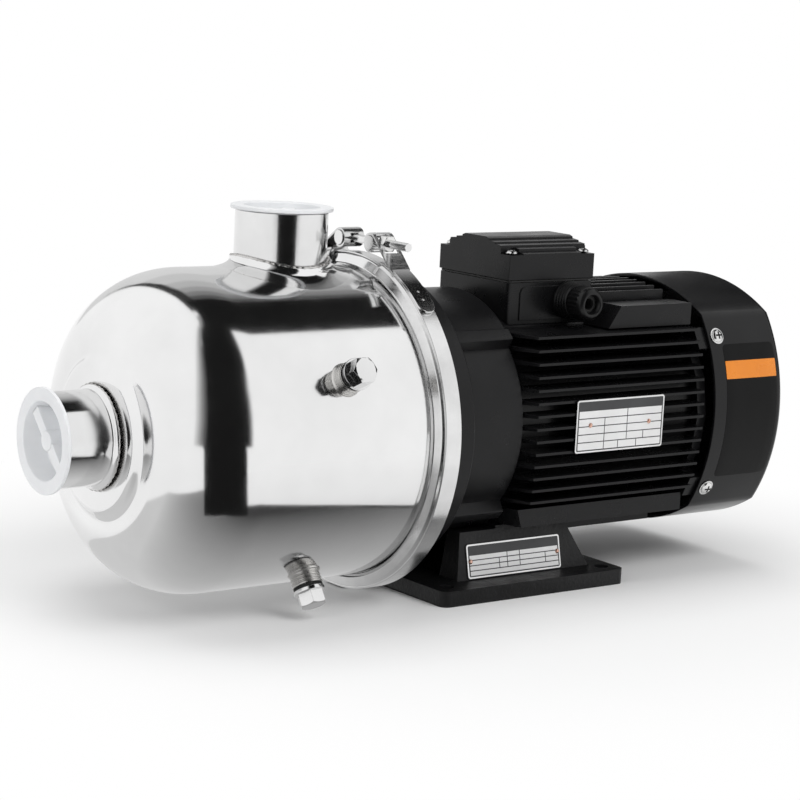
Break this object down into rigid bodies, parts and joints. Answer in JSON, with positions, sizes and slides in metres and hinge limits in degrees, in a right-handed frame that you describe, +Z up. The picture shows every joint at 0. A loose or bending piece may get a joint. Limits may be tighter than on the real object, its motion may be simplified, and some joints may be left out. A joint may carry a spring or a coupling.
{
  "type": "centrifugal pump",
  "caption": "Horizontal multistage centrifugal pump: domed steel barrel with capped ports, V-band clamp, finned black motor with terminal box and fan cover, on a cast foot.",
  "frame": {"origin": "centre of the foot's underside", "axes": "+X along the shaft from the inlet towards the fan cover, +Z up, -Y the side with the priming plug, the cable gland and the plates"},
  "size_m": [0.4873, 0.2054, 0.2277],
  "materials": {
    "stainless": "polished stainless steel",
    "satin_steel": "satin machined steel",
    "white_plastic": "satin white moulded plastic",
    "black_rubber": "matt black rubber",
    "ceramic": "ground cream ceramic",
    "cast_housing": "satin black painted casting",
    "black_aluminium": "satin black painted aluminium casting",
    "core_steel": "grey laminated steel",
    "copper": "enamelled copper wire",
    "rotor_aluminium": "laminated rotor with cast end rings",
    "black_plastic": "matt black moulded plastic",
    "black_sheet": "satin black painted sheet steel",
    "cast_foot": "rough black painted casting",
    "plate_metal": "brushed bare plate"
  },
  "bodies": {
    "housing": {"pump_casing": "stainless", "inlet_nozzle": "stainless", "outlet_nozzle": "stainless", "priming_boss": "satin_steel", "drain_boss": "satin_steel", "clamp_band": "stainless", "clamp_strap_near": "stainless", "clamp_strap_far": "stainless", "clamp_trunnion": "stainless", "clamp_t_bolt": "stainless", "clamp_nut": "satin_steel", "seal_plate": "stainless", "stage_bowl_1": "stainless", "stage_bowl_2": "stainless", "stage_bowl_3": "stainless", "suction_bell": "stainless", "seal_seat": "ceramic", "front_bearing_outer_ring": "satin_steel", "rear_bearing_outer_ring": "satin_steel", "lantern": "cast_housing", "motor_frame": "black_aluminium", "stator_core": "core_steel", "stator_windings": "copper", "rear_end_shield": "black_aluminium", "fan_cover": "black_sheet", "cover_screw_1": "satin_steel", "cover_screw_2": "satin_steel", "cover_screw_3": "satin_steel", "cover_screw_4": "satin_steel", "terminal_box_base": "black_aluminium", "terminal_box_gasket": "black_rubber", "terminal_box_lid": "black_aluminium", "lid_screw_1": "satin_steel", "lid_screw_2": "satin_steel", "lid_screw_3": "satin_steel", "lid_screw_4": "satin_steel", "terminal_board": "black_plastic", "gland_body": "black_plastic", "gland_seal": "black_rubber", "gland_nut": "black_plastic", "foot": "cast_foot", "motor_rating_plate": "plate_metal", "pump_rating_plate": "plate_metal"},
    "rotor": {"shaft": "satin_steel", "impeller_1": "stainless", "impeller_2": "stainless", "impeller_3": "stainless", "impeller_nut": "satin_steel", "seal_head": "black_rubber", "rotor_core": "rotor_aluminium", "front_bearing_inner_ring": "satin_steel", "rear_bearing_inner_ring": "satin_steel", "fan": "black_plastic"},
    "inlet_cap": {"inlet_cap": "white_plastic"},
    "outlet_cap": {"outlet_cap": "white_plastic"},
    "priming_washer": {"priming_washer": "black_rubber"},
    "priming_plug": {"priming_plug": "stainless"},
    "drain_washer": {"drain_washer": "black_rubber"},
    "drain_plug": {"drain_plug": "stainless"}
  },
  "joints": [
    {"name": "rotor_spin", "type": "hinge", "parent": "housing", "child": "rotor", "pos_m": [0, 0, 0.1016], "axis": [1, 0, 0], "continuous": true},
    {"name": "inlet_cap_pull", "type": "slide", "parent": "housing", "child": "inlet_cap", "axis": [-1, 0, 0], "range_m": [0, 0.03]},
    {"name": "outlet_cap_pull", "type": "slide", "parent": "housing", "child": "outlet_cap", "axis": [0, 0, 1], "range_m": [0, 0.03]},
    {"name": "priming_washer_lift", "type": "slide", "parent": "housing", "child": "priming_washer", "axis": [0, -0.9063, 0.4226], "range_m": [0, 0.0085]},
    {"name": "priming_plug_turn", "type": "hinge", "parent": "priming_washer", "child": "priming_plug", "pos_m": [-0.1547, -0.09063, 0.14386], "axis": [0, -0.9063, 0.4226], "range_deg": [0, 1980]},
    {"name": "drain_washer_drop", "type": "slide", "parent": "housing", "child": "drain_washer", "axis": [0, -0.5592, -0.829], "range_m": [0, 0.0085]},
    {"name": "drain_plug_turn", "type": "hinge", "parent": "drain_washer", "child": "drain_plug", "pos_m": [-0.1547, -0.05592, 0.0187], "axis": [0, -0.5592, -0.829], "range_deg": [0, 1980]}
  ],
  "couplings": [
    {"joint": "priming_washer_lift", "follows": "priming_plug_turn", "m_per_rad": 0.00021279},
    {"joint": "drain_washer_drop", "follows": "drain_plug_turn", "m_per_rad": 0.00021279}
  ]
}
